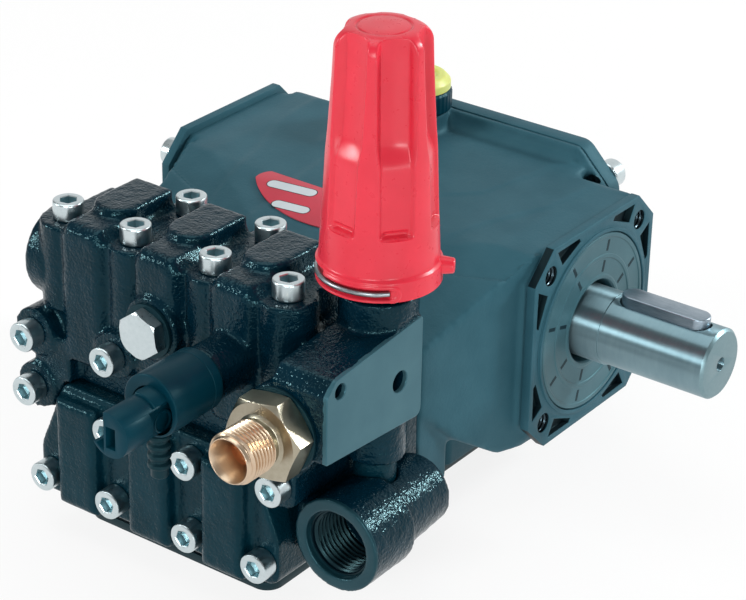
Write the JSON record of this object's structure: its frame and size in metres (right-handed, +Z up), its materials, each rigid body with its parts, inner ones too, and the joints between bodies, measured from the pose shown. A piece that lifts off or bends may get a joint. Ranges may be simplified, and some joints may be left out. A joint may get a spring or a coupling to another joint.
{
  "type": "plunger pump",
  "caption": "High-pressure plunger pump with a finned valve head, keyed drive shaft on a side flange, unloader valve with a fluted adjusting knob, brass outlet and threaded inlet.",
  "frame": {"origin": "centre of the drive flange's outer face, on the crankshaft's axis", "axes": "+X out along the drive shaft, +Y to the rear of the crankcase, +Z up"},
  "size_m": [0.2108, 0.242, 0.192],
  "materials": {
    "case_casting": "matt coated casting",
    "black_casting": "gloss black coated rough casting",
    "seal_rubber": "satin",
    "ground_steel": "ground",
    "zinc_steel": "zinc plated",
    "clear_plastic": "clear",
    "black_plastic": "satin",
    "yellow_plastic": "satin",
    "red_label": "printed",
    "nipple_brass": "machined",
    "red_plastic": "satin",
    "black_sheet": "satin black"
  },
  "bodies": {
    "pump_body": {"crankcase": "case_casting", "crankcase_feet": "case_casting", "drive_flange": "case_casting", "shaft_seal": "seal_rubber", "blind_side_cover": "case_casting", "blind_cover_screws": "zinc_steel", "rear_cover": "case_casting", "rear_cover_screws": "zinc_steel", "oil_sight_glass": "clear_plastic", "oil_drain_plug": "zinc_steel", "oil_filler_collar": "black_plastic", "oil_filler_cap": "yellow_plastic", "rating_plate": "red_label", "pump_head": "black_casting", "head_top_screws": "zinc_steel", "head_fixing_screws": "zinc_steel", "gallery_plug": "black_casting", "suction_cover": "black_casting", "suction_cover_screws": "zinc_steel", "suction_port": "black_casting", "unloader_body": "black_casting", "unloader_spindle": "ground_steel", "unloader_bottom_plug": "black_casting", "outlet_nipple": "nipple_brass", "nipple_sealing_ring": "seal_rubber", "gauge_port_plug": "zinc_steel", "gauge_plug_washer": "seal_rubber", "pressure_switch_sleeve": "black_plastic", "pressure_switch_connector": "black_plastic", "cable_grommet": "seal_rubber", "base_plate": "black_sheet", "foot_screws": "zinc_steel"},
    "crankshaft": {"crankshaft": "ground_steel", "shaft_key": "ground_steel"},
    "adjusting_knob": {"unloader_knob": "red_plastic", "knob_clip": "ground_steel"}
  },
  "joints": [
    {"name": "crankshaft_spin", "type": "hinge", "parent": "pump_body", "child": "crankshaft", "pos_m": [0, 0, 0], "axis": [1, 0, 0], "continuous": true},
    {"name": "knob_turn", "type": "hinge", "parent": "pump_body", "child": "adjusting_knob", "pos_m": [-0.0121, -0.1044, 0.0545], "axis": [0, 0, 1], "range_deg": [-360, 360]}
  ]
}
